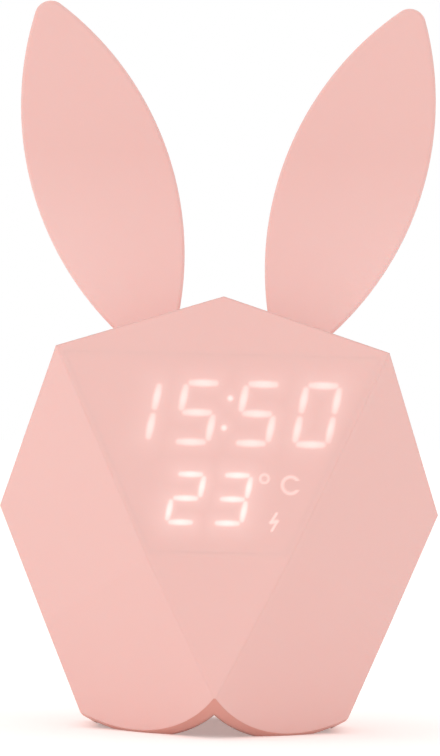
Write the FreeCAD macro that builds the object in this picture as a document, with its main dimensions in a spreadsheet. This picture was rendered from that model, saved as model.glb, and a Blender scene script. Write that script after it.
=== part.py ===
import FreeCAD, Part
import Sketcher
import math
import os
import re

# Faceted bedside clock with two leaf ears. Millimetres, +Z up, front face towards -Y.
# The origin is on the table under the middle of the body.

V = FreeCAD.Vector
doc = FreeCAD.newDocument("FacetedAlarmClock")
sheet = doc.addObject("Spreadsheet::Sheet", "Sizes")

SIZES = {
    # Faceted body
    "body_depth": 92.0,
    "apex_height": 104.6,
    "shoulder_half": 39.2,
    "shoulder_height": 92.2,
    "face_low_half": 16.9,
    "face_low_height": 43.2,
    "corner_half": 53.0,
    "corner_height": 53.7,
    "corner_depth_half": 16.7,
    "side_taper": 0.409,
    "lower_facet_turn": 40.8,
    "lower_facet_lean": 0.40,
    "triangle_lean": 5.5,
    "trim_radius": 64.8,
    "trim_centre_height": 58.6,
    "trim_top": 30.0,
    "wall": 2.4,
    "fit_gap": 0.2,
    "press_gap": 0.05,
    # Ears
    "ear_thickness": 4.5,
    "ear_outer_radius": 77.4,
    "ear_outer_centre": 26.4,
    "ear_outer_centre_rise": 48.9,
    "ear_inner_radius": 77.2,
    "ear_inner_centre": 87.1,
    "ear_inner_centre_rise": 9.9,
    "ear_tip_radius": 4.0,
    "ear_edge_width": 0.5,
    "tongue_inner": 13.0,
    "tongue_outer": 25.0,
    "tongue_depth": 10.7,
    "peg_radius": 1.6,
    "peg_rise": 4.0,
    "ear_rib_thickness": 2.0,
    "ear_rib_margin": 2.0,
    # Shell screws and their columns
    "upper_column_inset": 1.2,
    "upper_column_drop": 12.2,
    "lower_column_across": 33.5,
    "lower_column_height": 30.0,
    "column_radius": 5.0,
    "front_column_radius": 4.0,
    "shell_screw_radius": 1.5,
    "shell_head_radius": 2.8,
    "shell_head_thickness": 2.0,
    "shell_screw_seat": 8.0,
    "shell_screw_length": 18.0,
    # Small screws of the boards and the speaker
    "small_screw_radius": 1.0,
    "small_head_radius": 1.9,
    "small_head_thickness": 1.2,
    "small_screw_length": 6.0,
    "speaker_screw_length": 4.0,
    "boss_radius": 2.2,
    # Recessed bottom cover
    "cover_bottom": 14.0,
    "cover_thickness": 2.0,
    "ledge_width": 3.0,
    "ledge_thickness": 1.6,
    "cover_boss_inset": 2.8,
    "cover_boss_radius": 3.2,
    "cover_boss_length": 10.0,
    # Battery and night light on the bottom cover
    "battery_length": 34.0,
    "battery_width": 26.0,
    "battery_thickness": 9.0,
    "battery_edge_radius": 2.0,
    "pad_thickness": 0.8,
    "pad_margin": 2.0,
    "fence_thickness": 1.2,
    "fence_height": 5.0,
    "fence_length": 20.0,
    "light_post_across": 21.0,
    "light_post_radius": 2.4,
    "light_post_length": 13.0,
    "light_board_length": 50.0,
    "light_board_width": 14.0,
    "board_thickness": 1.6,
    "light_led_side": 3.5,
    "light_led_thickness": 1.4,
    "light_led_count": 5,
    "light_led_pitch": 7.0,
    # Display
    "film_thickness": 0.3,
    "mask_thickness": 5.0,
    "mask_margin": 2.2,
    "mask_rise": 1.2,
    "mask_drop": 2.8,
    "display_boss_inset": 3.0,
    "display_boss_side_inset": 4.3,
    "segment_width": 1.15,
    "segment_gap": 0.35,
    "slant": 0.19,
    "time_digit_height": 13.6,
    "time_digit_width": 7.4,
    "time_digit_pitch": 14.25,
    "time_centre": 1.7,
    "time_height": 77.1,
    "colon_radius": 0.75,
    "colon_rise": 3.4,
    "degree_digit_height": 11.2,
    "degree_digit_width": 5.8,
    "degree_digit_pitch": 11.4,
    "degree_centre": -2.3,
    "degree_height": 57.0,
    "ring_across": 10.6,
    "ring_height": 61.9,
    "ring_radius": 1.4,
    "letter_across": 16.8,
    "letter_height": 60.6,
    "letter_radius": 2.4,
    "letter_width": 0.9,
    "bolt_across": 13.1,
    "bolt_height": 51.9,
    "bolt_size": 4.2,
    "segment_led_length": 1.6,
    "segment_led_width": 0.8,
    "segment_led_thickness": 0.6,
    "lamp_gap": 0.1,
    # Main board behind the rear face
    "board_to_wall": 6.0,
    "main_board_drop": 1.2,
    "main_board_half": 31.0,
    "main_board_knee": 78.0,
    "main_board_low_half": 27.0,
    "main_board_bottom": 62.5,
    "main_boss_inset": 3.0,
    "main_boss_drop": 4.0,
    "main_low_boss_gap": 1.4,
    # Keys and their switches
    "key_pitch": 13.0,
    "key_drop": 7.0,
    "key_radius": 4.0,
    "key_gap": 0.15,
    "key_flange_radius": 5.2,
    "key_flange_thickness": 1.0,
    "key_proud": 1.2,
    "key_edge_width": 0.5,
    "key_travel": 0.8,
    "key_post_radius": 1.2,
    "switch_side": 6.0,
    "switch_thickness": 3.3,
    "plunger_radius": 1.75,
    "plunger_gap": 0.08,
    "plunger_proud": 0.9,
    "plunger_depth": 1.0,
    # Power switch and charging socket
    "power_across": -21.5,
    "power_height": 69.0,
    "power_body_length": 9.0,
    "power_body_width": 4.0,
    "power_body_thickness": 3.8,
    "power_knob_length": 2.4,
    "power_knob_width": 1.6,
    "power_travel": 2.0,
    "power_gap": 0.1,
    "socket_across": 21.5,
    "socket_height": 69.0,
    "socket_width": 8.9,
    "socket_thickness": 3.2,
    "socket_wall": 0.35,
    "socket_tongue_width": 6.6,
    "socket_tongue_thickness": 0.7,
    # Speaker
    "speaker_height": 57.5,
    "speaker_radius": 13.0,
    "speaker_gap": 0.2,
    "speaker_ring_wall": 1.5,
    "gasket_thickness": 0.8,
    "gasket_inner_radius": 11.4,
    "basket_flange_thickness": 1.2,
    "basket_neck_radius": 10.6,
    "basket_end_radius": 7.6,
    "basket_depth": 6.0,
    "basket_wall": 0.7,
    "magnet_radius": 7.0,
    "magnet_thickness": 4.0,
    "cone_thickness": 0.4,
    "cone_depth": 2.6,
    "dust_cap_radius": 3.4,
    "clamp_thickness": 1.2,
    "clamp_boss_across": 17.6,
    "grille_slot_width": 1.6,
    "grille_pitch": 3.2,
    "grille_slot_count": 7,
    "grille_radius": 11.0,
}

for row, (alias, number) in enumerate(SIZES.items(), start=1):
    sheet.set("A%d" % row, alias.replace("_", " "))
    sheet.set("B%d" % row, str(number))
    sheet.setAlias("B%d" % row, alias)

# Places that follow from the sizes above
DERIVED = {
    "roof_slope": "(apex_height - shoulder_height) / shoulder_half",
    "ear_outer_centre_height": "apex_height + ear_outer_centre_rise",
    "ear_inner_centre_height": "apex_height + ear_inner_centre_rise",
    "tongue_bottom": "apex_height - roof_slope * tongue_outer - tongue_depth",
    "peg_across": "(tongue_inner + tongue_outer) / 2",
    "peg_height": "tongue_bottom + peg_rise",
    "upper_column_across": "shoulder_half - upper_column_inset",
    "upper_column_height": "shoulder_height - upper_column_drop",
    "mask_bottom": "face_low_height + mask_rise",
    "mask_top": "shoulder_height - mask_drop",
    "main_board_top": "shoulder_height - main_board_drop",
    "key_height": "main_board_top - key_drop",
}
for row, (alias, formula) in enumerate(DERIVED.items(), start=len(SIZES) + 1):
    sheet.set("A%d" % row, alias.replace("_", " "))
    sheet.set("B%d" % row, "=" + formula)
    sheet.setAlias("B%d" % row, alias)
    doc.recompute()
doc.recompute()


def size(alias):
    """The number that the sheet holds under one alias."""
    return float(sheet.get(alias))


def linked(formula):
    """A formula in plain aliases, written as an expression on the sheet."""
    def cell(match):
        word = match.group()
        return "Sizes." + word if word in SIZES or word in DERIVED else word
    return re.sub(r"[a-z][a-z_]*[a-z]", cell, str(formula))


def bind(item, **formulas):
    """Ties properties of a document object to the sheet."""
    for name, formula in formulas.items():
        item.setExpression(name, linked(formula))
    return item


def place(item, across, along, height):
    """Ties the place of a document object to the sheet."""
    for axis, formula in zip("xyz", (across, along, height)):
        item.setExpression("Placement.Base." + axis, linked(formula))
    return item


pieces = []


def piece(item, label):
    """Marks a document object as one node of the clock."""
    item.Label = label
    pieces.append(item)
    return item


def box(length, width, thickness, across, along, height):
    """Box with its low corner at the given place."""
    item = doc.addObject("Part::Box", "Block")
    bind(item, Length=length, Width=width, Height=thickness)
    return place(item, across, along, height)


def rod(radius, length, across, along, height, axis=V(0, 1, 0)):
    """Cylinder that starts at the given place and runs along the axis."""
    item = doc.addObject("Part::Cylinder", "Rod")
    item.Placement = FreeCAD.Placement(V(), FreeCAD.Rotation(V(0, 0, 1), axis))
    bind(item, Radius=radius, Height=length)
    return place(item, across, along, height)


def cut(base, tools):
    """Base with every tool taken away."""
    for tool in tools:
        item = doc.addObject("Part::Cut", "Cut")
        item.Base = base
        item.Tool = tool
        base = item
    return base


def group(kind, items):
    """Union or common part of several document objects."""
    item = doc.addObject(kind, "Group")
    item.Shapes = items
    return item


def fuse(items):
    return group("Part::MultiFuse", items)


def common(items):
    return group("Part::MultiCommon", items)


def rounded(base, radius, chosen):
    """Fillet on the edges for which chosen(edge) is true."""
    doc.recompute()
    item = doc.addObject("Part::Fillet", "Rounded")
    item.Base = base
    item.Edges = [(number, size(radius), size(radius))
                  for number, edge in enumerate(base.Shape.Edges, start=1) if chosen(edge)]
    return item


def chamfered(base, width, chosen):
    """Chamfer on the edges for which chosen(edge) is true."""
    doc.recompute()
    item = doc.addObject("Part::Chamfer", "Chamfered")
    item.Base = base
    item.Edges = [(number, size(width), size(width))
                  for number, edge in enumerate(base.Shape.Edges, start=1) if chosen(edge)]
    return item


def plain(label, shape):
    """Node whose shape is worked out with the sheet's numbers."""
    item = doc.addObject("Part::Feature", "Moulding")
    item.Shape = shape
    return piece(item, label)


# Faceted body: planes, each a normal and a point on it

def body_planes():
    half_depth = size("body_depth") / 2
    apex = V(0, 0, size("apex_height"))
    shoulder = V(size("shoulder_half"), -half_depth, size("shoulder_height"))
    low = V(size("face_low_half"), -half_depth, size("face_low_height"))
    corner = V(size("corner_half"), -size("corner_depth_half"), size("corner_height"))
    turn = math.radians(size("lower_facet_turn"))
    lean = math.radians(size("triangle_lean"))
    roof = V(apex.z - shoulder.z, 0, shoulder.x)
    upper_side = V(shoulder.z - corner.z, 0, corner.x - shoulder.x)
    lower_side = V(1, 0, -size("side_taper"))
    upper_facet = (corner - shoulder).cross(shoulder - low)
    lower_facet = V(math.sin(turn), -math.cos(turn), -size("lower_facet_lean"))
    triangle = V(0, -math.cos(lean), -math.sin(lean))
    right_front = [(roof, apex), (upper_side, shoulder), (lower_side, corner),
                   (upper_facet, low), (lower_facet, low), (triangle, low),
                   (V(0, -1, 0), low)]
    planes = []
    for normal, point in right_front:
        for side in (1, -1):
            for end in (1, -1):
                turned = V(side * normal.x, end * normal.y, normal.z).normalize()
                moved = V(side * point.x, end * point.y, point.z)
                if not any((turned - old).Length < 1e-9 for old, _ in planes):
                    planes.append((turned, moved))
    return planes


SPAN = 4 * size("body_depth")


def outside(normal, point):
    """Large block on the outer side of a plane."""
    block = Part.makeBox(SPAN, SPAN, SPAN, V(-SPAN / 2, -SPAN / 2, 0))
    block.Placement = FreeCAD.Placement(point, FreeCAD.Rotation(V(0, 0, 1), normal))
    return block


def faceted(inset):
    """The faceted body with every plane moved inwards by the inset."""
    solid = Part.makeBox(SPAN, SPAN, SPAN, V(-SPAN / 2, -SPAN / 2, -SPAN / 2))
    for normal, point in body_planes():
        solid = solid.cut(outside(normal, point - normal * inset))
    return solid


def slab(bottom, top):
    return Part.makeBox(SPAN, SPAN, top - bottom, V(-SPAN / 2, -SPAN / 2, bottom))


def cylinder_y(radius, start, end, across, height):
    """Cylinder along Y between two depths."""
    low, high = sorted((start, end))
    return Part.makeCylinder(radius, high - low, V(across, low, height), V(0, 1, 0))


outer = faceted(0)
cavity = faceted(size("wall"))
ball = Part.makeSphere(size("trim_radius"), V(0, 0, size("trim_centre_height")))
under = slab(-SPAN / 2, size("trim_top")).cut(ball).fuse(slab(-SPAN / 2, 0))
cover_top = size("cover_bottom") + size("cover_thickness")
inner_face = size("body_depth") / 2 - size("wall")


def ledge():
    """Inner rim that the bottom cover rests against."""
    ring = slab(cover_top, cover_top + size("ledge_thickness")).common(cavity)
    return ring.cut(faceted(size("wall") + size("ledge_width")))


def ear_slot(side):
    """Opening in the roof for the tongue of one ear."""
    gap = size("press_gap")
    low, high = size("tongue_inner") - gap, size("tongue_outer") + gap
    depth = size("ear_thickness") + 2 * gap
    start = low if side > 0 else -high
    return Part.makeBox(high - low, depth, size("apex_height"),
                        V(start, -depth / 2, size("tongue_bottom")))


def ear_rib(side, end):
    """Rib under the roof that backs one face of the tongue."""
    margin = size("ear_rib_margin")
    low, high = size("tongue_inner") - margin, size("tongue_outer") + margin
    near = size("ear_thickness") / 2 + size("press_gap")
    start = low if side > 0 else -high
    first = near if end > 0 else -near - size("ear_rib_thickness")
    return Part.makeBox(high - low, size("ear_rib_thickness"), size("apex_height"),
                        V(start, first, size("tongue_bottom") - margin / 2)).common(outer)


COLUMNS = [(side * size(name + "_column_across"), size(name + "_column_height"))
           for name in ("upper", "lower") for side in (1, -1)]


def cover_bosses():
    """Places of the four cover bosses, just inside the lower facets."""
    turn, lean = math.radians(size("lower_facet_turn")), size("lower_facet_lean")
    reach = size("face_low_half") * math.sin(turn) + size("body_depth") / 2 * math.cos(turn)
    reach -= lean * (size("face_low_height") - cover_top) + size("wall") * math.hypot(1, lean)
    reach -= size("cover_boss_inset")
    return [(side * reach * math.sin(turn), end * reach * math.cos(turn))
            for side in (1, -1) for end in (1, -1)]


COVER_BOSSES = cover_bosses()


def half_shell(end, additions, cuts):
    """Front (end -1) or rear (end 1) half of the hollow body with what is moulded on it."""
    behind = V(0, -end, 0)
    solid = outer.cut(cavity).fuse(ledge())
    solid = solid.fuse([ear_rib(side, end) for side in (1, -1)] + additions)
    for across, depth in COVER_BOSSES:
        if depth * end > 0:
            solid = solid.fuse(Part.makeCylinder(size("cover_boss_radius"), size("cover_boss_length"),
                                                 V(across, depth, cover_top)).common(outer))
    solid = solid.cut(under)
    solid = solid.cut(outside(behind, V()))
    for across, depth in COVER_BOSSES:
        pilot = Part.makeCylinder(size("small_screw_radius"), size("small_screw_length"),
                                  V(across, depth, cover_top))
        solid = solid.cut(pilot)
    return solid.cut([ear_slot(side) for side in (1, -1)] + cuts).removeSplitter()


def screw_tip():
    return size("shell_screw_seat") - size("shell_screw_length")


def face_half(height):
    """Half width of the front face at one height."""
    share = (height - size("face_low_height")) / (size("shoulder_height") - size("face_low_height"))
    return size("face_low_half") + share * (size("shoulder_half") - size("face_low_half"))


def display_bosses():
    """Two bosses in the upper corners of the mask and one at the middle of its lower edge."""
    height = size("mask_top") - size("display_boss_inset")
    across = face_half(height) - size("mask_margin") - size("display_boss_side_inset")
    return [(across, height), (-across, height), (0, size("mask_bottom") + size("display_boss_inset"))]


DISPLAY_BOSSES = display_bosses()
display_board_front = -inner_face + size("film_thickness") + size("mask_thickness")


def front_shell():
    additions = []
    cuts = []
    for across, height in COLUMNS:
        additions.append(cylinder_y(size("front_column_radius"), 0, -SPAN, across, height).common(outer))
        cuts.append(cylinder_y(size("shell_screw_radius"), 0, screw_tip() - size("fit_gap"), across, height))
    for across, height in DISPLAY_BOSSES:
        additions.append(cylinder_y(size("boss_radius"), -inner_face, display_board_front, across, height))
        cuts.append(cylinder_y(size("small_screw_radius"), display_board_front,
                               display_board_front - size("small_screw_length") + size("board_thickness"),
                               across, height))
    for side in (1, -1):
        reach = size("ear_thickness") / 2 + size("press_gap") + size("ear_rib_thickness")
        additions.append(cylinder_y(size("peg_radius"), -reach, -size("press_gap"),
                                    side * size("peg_across"), size("peg_height")))
    solid = half_shell(-1, additions, cuts)
    pegs = [cylinder_y(size("peg_radius"), -size("ear_thickness"), 0,
                       side * size("peg_across"), size("peg_height")) for side in (1, -1)]
    return solid.fuse(pegs).removeSplitter()


KEYS = {"time_set_key": -1.5, "down_key": -0.5, "up_key": 0.5, "light_key": 1.5}
main_board_rear = inner_face - size("board_to_wall")
speaker_reach = size("speaker_radius") + size("speaker_gap") + size("speaker_ring_wall")


def main_bosses():
    """Two bosses in the upper corners of the main board and one just above the speaker."""
    across = size("main_board_half") - size("main_boss_inset")
    height = size("main_board_top") - size("main_boss_drop")
    low = size("speaker_height") + speaker_reach + size("boss_radius") + size("main_low_boss_gap")
    return [(across, height), (-across, height), (0, low)]


MAIN_BOSSES = main_bosses()


clamp_seat = inner_face - size("gasket_thickness") - size("basket_flange_thickness")


def grille_slots(start, end):
    """Level sound slots, round at the ends, that fill a circle in front of the speaker."""
    half_width = size("grille_slot_width") / 2
    count = int(size("grille_slot_count"))
    slots = []
    for number in range(count):
        rise = (number - (count - 1) / 2) * size("grille_pitch")
        half = math.sqrt(size("grille_radius") ** 2 - rise ** 2) - half_width
        height = size("speaker_height") + rise
        slot = Part.makeBox(2 * half, end - start, 2 * half_width, V(-half, start, height - half_width))
        ends = [cylinder_y(half_width, start, end, side * half, height) for side in (1, -1)]
        slots.append(slot.fuse(ends).removeSplitter())
    return slots


def rear_shell():
    skin = inner_face + size("wall")
    speaker = (0, size("speaker_height"))
    ring_inner = size("speaker_radius") + size("speaker_gap")
    additions = []
    cuts = []
    for across, height in COLUMNS:
        additions.append(cylinder_y(size("column_radius"), 0, SPAN, across, height).common(outer))
        cuts.append(cylinder_y(size("shell_screw_radius") + size("fit_gap"), 0, SPAN, across, height))
        cuts.append(cylinder_y(size("shell_head_radius") + size("fit_gap"), size("shell_screw_seat"),
                               SPAN, across, height))
    for across, height in MAIN_BOSSES:
        additions.append(cylinder_y(size("boss_radius"), main_board_rear, inner_face, across, height))
        cuts.append(cylinder_y(size("small_screw_radius"), main_board_rear,
                               main_board_rear + size("small_screw_length") - size("board_thickness"),
                               across, height))
    ring = cylinder_y(speaker_reach, clamp_seat, inner_face, *speaker)
    for side in (1, -1):
        across = side * size("clamp_boss_across")
        additions.append(cylinder_y(size("boss_radius"), clamp_seat, inner_face, across, speaker[1]))
        cuts.append(cylinder_y(size("small_screw_radius"), clamp_seat,
                               clamp_seat + size("speaker_screw_length") - size("clamp_thickness"),
                               across, speaker[1]))
    additions.append(ring)
    cuts.append(cylinder_y(ring_inner, clamp_seat, inner_face, *speaker))
    cuts += grille_slots(inner_face, skin)
    for step in KEYS.values():
        cuts.append(cylinder_y(size("key_radius") + size("key_gap"), inner_face, skin,
                               step * size("key_pitch"), size("key_height")))
    for side in (1, -1):
        cuts.append(cylinder_y(size("peg_radius") + size("press_gap"), 0, size("ear_thickness") * 2,
                               side * size("peg_across"), size("peg_height")))
    cuts.append(socket_outline(size("fit_gap"), inner_face, skin))
    reach = size("power_knob_length") + size("power_travel") + 2 * size("fit_gap")
    tall = size("power_knob_width") + 2 * size("fit_gap")
    corner = V(size("power_across") - reach / 2, inner_face, size("power_height") - tall / 2)
    cuts.append(Part.makeBox(reach, size("wall"), tall, corner))
    return half_shell(1, additions, cuts)


def socket_outline(grow, start, end):
    """Rounded bar of the charging socket between two depths, made larger by grow."""
    radius = size("socket_thickness") / 2 + grow
    half = size("socket_width") / 2 - size("socket_thickness") / 2
    across, height = size("socket_across"), size("socket_height")
    bar = Part.makeBox(2 * half, end - start, 2 * radius, V(across - half, start, height - radius))
    ends = [cylinder_y(radius, start, end, across + side * half, height) for side in (1, -1)]
    return bar.fuse(ends).removeSplitter()


plain("front_shell", front_shell())
plain("rear_shell", rear_shell())


# Ears: a leaf between two large arcs, with a tongue that goes down through the roof

def above_roof():
    """Block that lies on the right slope of the roof."""
    block = box("2 * apex_height", "2 * ear_thickness", "2 * apex_height", "0", "-ear_thickness",
                "apex_height")
    block.Placement.Rotation = FreeCAD.Rotation(V(0, 1, 0), 1)
    bind(block, **{"Placement.Rotation.Angle":
                   "atan((apex_height - shoulder_height) / shoulder_half)"})
    return block


def ear():
    """Right ear: the leaf above the roof, its tongue and the hole for the peg."""
    disc = rod("ear_outer_radius", "ear_thickness", "-ear_outer_centre", "-ear_thickness / 2",
               "ear_outer_centre_height")
    other = rod("ear_inner_radius", "ear_thickness", "ear_inner_centre", "-ear_thickness / 2",
                "ear_inner_centre_height")
    leaf = rounded(common([disc, other]), "ear_tip_radius",
                   lambda edge: edge.Length < 2 * size("ear_thickness")
                   and edge.CenterOfMass.z > size("ear_outer_centre_height"))
    blade = common([leaf, above_roof()])
    soft = chamfered(blade, "ear_edge_width",
                     lambda edge: edge.Curve.TypeId == "Part::GeomCircle"
                     and edge.Length > size("ear_thickness"))
    tongue = box("tongue_outer - tongue_inner", "ear_thickness", "apex_height - tongue_bottom",
                 "tongue_inner", "-ear_thickness / 2", "tongue_bottom")
    peg_hole = rod("peg_radius + press_gap", "2 * ear_thickness", "peg_across", "-ear_thickness",
                   "peg_height")
    return cut(fuse([soft, tongue]), [peg_hole])


right_ear = piece(ear(), "right_ear")
left_ear = doc.addObject("Part::Mirroring", "LeftEar")
left_ear.Source = right_ear
left_ear.Normal = V(1, 0, 0)
piece(left_ear, "left_ear")


# Screws: a tapered head and a shank on one axis

def screw_shape(radius, length, head_radius, head_thickness):
    """Screw with its seat at the origin and its tapered head towards +Y."""
    shank = cylinder_y(radius, 0, -length, 0, 0)
    head = Part.makeCone(head_radius, head_radius - head_thickness / 3, head_thickness, V(), V(0, 1, 0))
    return head.fuse(shank).removeSplitter()


def screw_set(label, kind, seats, towards=V(0, 1, 0), length=None):
    """Equal screws, one at each seat, with their heads towards one direction."""
    one = screw_shape(size(kind + "_screw_radius"), size(length or kind + "_screw_length"),
                      size(kind + "_head_radius"), size(kind + "_head_thickness"))
    turn = FreeCAD.Rotation(V(0, 1, 0), towards)
    screws = []
    for seat in seats:
        screw = one.copy()
        screw.Placement = FreeCAD.Placement(seat, turn)
        screws.append(screw)
    return plain(label, Part.makeCompound(screws))


screw_set("shell_screws", "shell", [V(across, size("shell_screw_seat"), height)
                                    for across, height in COLUMNS])


# Bottom cover, recessed inside the skirt, with posts for the light board

def bottom_cover():
    gap = size("fit_gap")
    plate = slab(size("cover_bottom"), cover_top).common(faceted(size("wall") + gap))
    extras = []
    for side in (1, -1):
        extras.append(Part.makeCylinder(size("light_post_radius"), size("light_post_length"),
                                        V(side * size("light_post_across"), 0, cover_top)))
        depth = side * (size("battery_width") / 2 + gap)
        first = depth if side > 0 else depth - size("fence_thickness")
        extras.append(Part.makeBox(size("fence_length"), size("fence_thickness"), size("fence_height"),
                                   V(-size("fence_length") / 2, first, cover_top)))
    plate = plate.fuse(extras)
    for across, depth in COVER_BOSSES:
        plate = plate.cut(Part.makeCylinder(size("small_screw_radius") + gap, SPAN / 10,
                                            V(across, depth, 0)))
    for side in (1, -1):
        top = cover_top + size("light_post_length")
        pilot = Part.makeCylinder(size("small_screw_radius"), size("small_screw_length"),
                                  V(side * size("light_post_across"), 0, top - size("small_screw_length")))
        plate = plate.cut(pilot)
    return plate.removeSplitter()


plain("bottom_cover", bottom_cover())
screw_set("bottom_screws", "small", [V(across, depth, size("cover_bottom"))
                                     for across, depth in COVER_BOSSES], V(0, 0, -1))


# Battery pack on its foam pad

cover_top_formula = "(cover_bottom + cover_thickness)"
pad = box("battery_length - 2 * pad_margin", "battery_width - 2 * pad_margin", "pad_thickness",
          "-battery_length / 2 + pad_margin", "-battery_width / 2 + pad_margin", cover_top_formula)
piece(pad, "battery_pad")
cell = box("battery_length", "battery_width", "battery_thickness", "-battery_length / 2",
           "-battery_width / 2", cover_top_formula + " + pad_thickness")
piece(rounded(cell, "battery_edge_radius", lambda edge: edge.Length < size("battery_width") - 1
              and edge.Length > size("battery_thickness") - 1 and abs(edge.tangentAt(0).z) > 0.9),
      "battery_pack")


# Night light: a board on the two posts of the bottom cover, with lamps on top

light_seat = cover_top_formula + " + light_post_length"
light_plate = box("light_board_length", "light_board_width", "board_thickness",
                  "-light_board_length / 2", "-light_board_width / 2", light_seat)
light_holes = [rod("small_screw_radius + fit_gap", "4 * board_thickness",
                   sign + "light_post_across", "0", light_seat + " - board_thickness", V(0, 0, 1))
               for sign in ("", "-")]
piece(cut(light_plate, light_holes), "light_board")


def light_lamps():
    side, thick = size("light_led_side"), size("light_led_thickness")
    height = cover_top + size("light_post_length") + size("board_thickness")
    count = int(size("light_led_count"))
    lamps = []
    for number in range(count):
        across = (number - (count - 1) / 2) * size("light_led_pitch")
        lamps.append(Part.makeBox(side, side, thick, V(across - side / 2, -side / 2, height)))
    return Part.makeCompound(lamps)


plain("light_lamps", light_lamps())
screw_set("light_board_screws", "small",
          [V(side * size("light_post_across"), 0,
             cover_top + size("light_post_length") + size("board_thickness")) for side in (1, -1)],
          V(0, 0, 1))


# Display: film, mask with a window for every segment, board and lamps

def face_plate(start, thickness):
    """Plate behind the front face, with clear holes for the bosses."""
    bottom, top = size("mask_bottom"), size("mask_top")
    low, high = (face_half(level) - size("mask_margin") for level in (bottom, top))
    outline = Part.makePolygon([V(-low, start, bottom), V(low, start, bottom), V(high, start, top),
                                V(-high, start, top), V(-low, start, bottom)])
    return Part.Face(outline).extrude(V(0, thickness, 0))


def prism(corners, start, thickness):
    """Straight prism along Y over corners given as across and height."""
    loop = [V(across, start, height) for across, height in corners]
    return Part.Face(Part.makePolygon(loop + loop[:1])).extrude(V(0, thickness, 0))


def bar(first, last):
    """Six-cornered outline of one segment between two points."""
    half = size("segment_width") / 2
    direction = (last - first).normalize()
    across = V(-direction.z, 0, direction.x) * half
    tip = direction * half
    corners = [first, first + tip + across, last - tip + across, last, last - tip - across,
               first + tip - across]
    return [(corner.x, corner.z) for corner in corners]


def digit_segments(centre, height, width, tall):
    """Outlines and middles of the seven segments of one leaning digit."""
    def point(across, up):
        return V(centre + across * width / 2 + up * size("slant") * tall / 2, 0, height + up * tall / 2)

    ends = [((-1, 1), (1, 1)), ((1, 1), (1, 0)), ((1, 0), (1, -1)), ((-1, -1), (1, -1)),
            ((-1, 0), (-1, -1)), ((-1, 1), (-1, 0)), ((-1, 0), (1, 0))]
    gap = size("segment_gap")
    found = []
    for first, last in ends:
        start, stop = point(*first), point(*last)
        step = (stop - start).normalize() * gap
        upright = abs((stop - start).z) > tall / 4
        found.append((bar(start + step, stop - step), (start + stop) / 2, upright))
    return found


def time_digits():
    pitch = size("time_digit_pitch")
    return [segment for number in range(4) for segment in
            digit_segments(size("time_centre") + (number - 1.5) * pitch, size("time_height"),
                           size("time_digit_width"), size("time_digit_height"))]


def degree_digits():
    pitch = size("degree_digit_pitch")
    return [segment for number in range(2) for segment in
            digit_segments(size("degree_centre") + (number - 0.5) * pitch, size("degree_height"),
                           size("degree_digit_width"), size("degree_digit_height"))]


def colon_dots():
    rise = size("colon_rise")
    lean = size("slant") * rise
    return [(size("time_centre") + side * lean, size("time_height") + side * rise) for side in (1, -1)]


def bolt_outline():
    """Small charging arrow of two slanted strokes."""
    unit = size("bolt_size") / 4
    across, height = size("bolt_across"), size("bolt_height")
    corners = [(0.6, 2), (-1, -0.3), (-0.1, -0.3), (-0.6, -2), (1, 0.4), (0.1, 0.4)]
    return [(across + right * unit, height + up * unit) for right, up in corners]


def display_windows(start, thickness):
    """Every opening of the mask as one list of cutting solids."""
    windows = [prism(outline, start, thickness) for outline, _, _ in time_digits() + degree_digits()]
    for across, height in colon_dots():
        windows.append(cylinder_y(size("colon_radius"), start, start + thickness, across, height))
    windows.append(cylinder_y(size("ring_radius"), start, start + thickness,
                              size("ring_across"), size("ring_height")))
    place_letter = (size("letter_across"), size("letter_height"))
    letter = cylinder_y(size("letter_radius"), start, start + thickness, *place_letter)
    letter = letter.cut(cylinder_y(size("letter_radius") - size("letter_width"), start,
                                   start + thickness, *place_letter))
    opening = prism([(place_letter[0], place_letter[1]),
                     (place_letter[0] + size("letter_radius"), place_letter[1] + size("letter_radius")),
                     (place_letter[0] + size("letter_radius"), place_letter[1] - size("letter_radius"))],
                    start, thickness)
    windows.append(letter.cut(opening))
    windows.append(prism(bolt_outline(), start, thickness))
    return windows


def segment_lamps(grow):
    """Blocks on the front of the display board, one behind every window."""
    long, short = size("segment_led_length") + 2 * grow, size("segment_led_width") + 2 * grow
    thick = size("segment_led_thickness") + grow
    places = [(middle.x, middle.z, upright) for _, middle, upright in time_digits() + degree_digits()]
    places += [(across, height, False) for across, height in colon_dots()]
    places += [(size("ring_across"), size("ring_height"), False),
               (size("letter_across") - size("letter_radius") + size("letter_width") / 2,
                size("letter_height"), True),
               (size("bolt_across"), size("bolt_height"), True)]
    lamps = []
    for across, height, upright in places:
        wide, tall = (short, long) if upright else (long, short)
        lamps.append(Part.makeBox(wide, thick, tall, V(across - wide / 2, display_board_front - thick,
                                                       height - tall / 2)))
    return lamps


def boss_holes(radius, start, thickness):
    return [cylinder_y(radius, start, start + thickness, across, height)
            for across, height in DISPLAY_BOSSES]


film_start = -inner_face
mask_start = film_start + size("film_thickness")
clear_radius = size("boss_radius") + size("fit_gap")
plain("diffuser_film", face_plate(film_start, size("film_thickness")).cut(
    boss_holes(clear_radius, film_start, size("film_thickness"))))
plain("segment_mask", face_plate(mask_start, size("mask_thickness")).cut(
    boss_holes(clear_radius, mask_start, size("mask_thickness"))
    + display_windows(mask_start, size("mask_thickness")) + segment_lamps(size("lamp_gap"))))
plain("display_board", face_plate(display_board_front, size("board_thickness")).cut(
    boss_holes(size("small_screw_radius") + size("fit_gap"), display_board_front,
               size("board_thickness"))))


plain("segment_lamps", Part.makeCompound(segment_lamps(0)))
screw_set("display_screws", "small", [V(across, display_board_front + size("board_thickness"), height)
                                      for across, height in DISPLAY_BOSSES])


# Main board behind the rear face, cut round the speaker

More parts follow.
